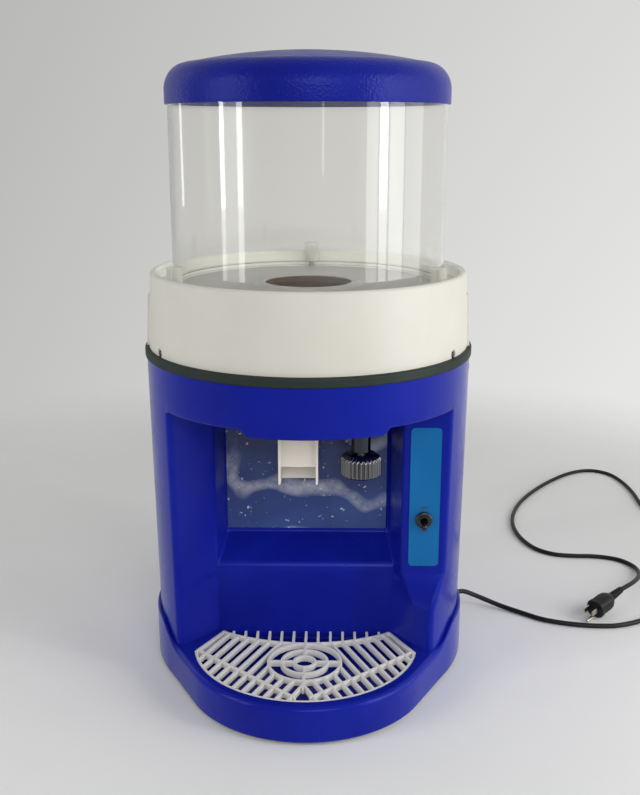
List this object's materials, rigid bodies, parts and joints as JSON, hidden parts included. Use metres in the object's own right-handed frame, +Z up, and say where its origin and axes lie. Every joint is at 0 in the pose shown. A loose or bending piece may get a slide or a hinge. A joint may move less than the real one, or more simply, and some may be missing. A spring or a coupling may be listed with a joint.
{
  "type": "countertop ice shaver",
  "caption": "Round countertop ice shaver: cubes in a clear lidded barrel are driven over a blade, and the shavings drop down a chute into a front cup bay with a drip grate.",
  "frame": {"origin": "middle of the machine's footprint box, on the table under the feet, with the mains lead left out", "axes": "+Z up, -Y out of the serving bay towards the person using it, +X to that person's right"},
  "size_m": [0.7817, 0.9029, 0.725],
  "materials": {
    "blue_plastic": "glossy moulded plastic",
    "white_plastic": "satin moulded plastic",
    "grey_plastic": "satin moulded plastic",
    "ivory_plastic": "satin moulded plastic",
    "clear_plastic": "clear polished tube",
    "picture_print": "printed sheet",
    "teal_plate": "satin painted plate",
    "rubber": "matt",
    "black_plastic": "satin",
    "chrome": "polished",
    "dark_chrome": "polished, smoked",
    "steel": "plain",
    "screw_steel": "zinc plated",
    "cast_aluminium": "cast and machined",
    "motor_paint": "satin",
    "brass": "bright"
  },
  "bodies": {
    "frame": {"base_tray": "blue_plastic", "drip_pan": "blue_plastic", "body_shell": "blue_plastic", "serving_bay": "blue_plastic", "collar_ring": "white_plastic", "ice_chute": "white_plastic", "hopper_floor": "grey_plastic", "terminal_block": "ivory_plastic", "ice_barrel": "clear_plastic", "picture_panel": "picture_print", "control_plate": "teal_plate", "rubber_feet": "rubber", "rubber_band": "rubber", "shaft_seal": "rubber", "drive_belt": "rubber", "cord_gland": "rubber", "power_cord": "rubber", "plug_body": "rubber", "switch_housing": "black_plastic", "switch_nut": "black_plastic", "knob_bush": "chrome", "floor_plate": "steel", "frame_posts": "steel", "top_frame": "steel", "motor_bracket": "steel", "capacitor_clip": "steel", "upper_bearing": "steel", "lower_bearing": "steel", "barrel_studs": "steel", "foot_screws": "screw_steel", "body_screws": "screw_steel", "post_screws": "screw_steel", "collar_screws": "screw_steel", "motor_screws": "screw_steel", "shaving_drum": "cast_aluminium", "bearing_housing": "cast_aluminium", "capacitor": "cast_aluminium", "motor": "motor_paint", "plug_pins": "brass"},
    "lid": {"lid": "blue_plastic"},
    "grate": {"drip_grate": "ivory_plastic"},
    "nut_back": {"thumb_nut_back": "white_plastic"},
    "nut_right": {"thumb_nut_right": "white_plastic"},
    "nut_left": {"thumb_nut_left": "white_plastic"},
    "knob": {"adjusting_knob": "dark_chrome", "adjusting_screw": "steel"},
    "blade_slider": {"blade_carrier": "cast_aluminium", "shaving_blade": "steel", "blade_screws": "screw_steel"},
    "lever": {"toggle_lever": "black_plastic"},
    "rotor": {"main_shaft": "steel", "impeller": "cast_aluminium", "impeller_nut": "steel", "main_pulley": "cast_aluminium"},
    "motor_rotor": {"motor_shaft": "steel", "motor_pulley": "cast_aluminium"}
  },
  "joints": [
    {"name": "lid_lift", "type": "slide", "parent": "frame", "child": "lid", "axis": [0, 0, 1], "range_m": [0, 0.25]},
    {"name": "grate_lift", "type": "slide", "parent": "frame", "child": "grate", "axis": [0, 0, 1], "range_m": [0, 0.05]},
    {"name": "nut_turn_back", "type": "hinge", "parent": "frame", "child": "nut_back", "pos_m": [0, 0.19175, 0.469], "axis": [0, 0, 1], "continuous": true},
    {"name": "nut_turn_right", "type": "hinge", "parent": "frame", "child": "nut_right", "pos_m": [0.14528, -0.05987, 0.469], "axis": [0, 0, 1], "continuous": true},
    {"name": "nut_turn_left", "type": "hinge", "parent": "frame", "child": "nut_left", "pos_m": [-0.14528, -0.05987, 0.469], "axis": [0, 0, 1], "continuous": true},
    {"name": "knob_turn", "type": "hinge", "parent": "frame", "child": "knob", "pos_m": [0.062, -0.068, 0.27], "axis": [0, 0, 1], "range_deg": [-360, 360]},
    {"name": "blade_slide", "type": "slide", "parent": "frame", "child": "blade_slider", "axis": [0, 0, 1], "range_m": [-0.00126, 0.00126]},
    {"name": "switch_toggle", "type": "hinge", "parent": "frame", "child": "lever", "pos_m": [0.1352, -0.074, 0.2045], "axis": [-1, 0, 0], "range_deg": [0, 24]},
    {"name": "rotor_spin", "type": "hinge", "parent": "frame", "child": "rotor", "pos_m": [0, 0.024, 0.38], "axis": [0, 0, 1], "continuous": true},
    {"name": "motor_spin", "type": "hinge", "parent": "frame", "child": "motor_rotor", "pos_m": [0, 0.132, 0.34], "axis": [0, 0, 1], "continuous": true}
  ],
  "couplings": [
    {"joint": "blade_slide", "follows": "knob_turn", "m_per_rad": 0.00019894},
    {"joint": "motor_spin", "follows": "rotor_spin", "ratio": 2.5544}
  ]
}
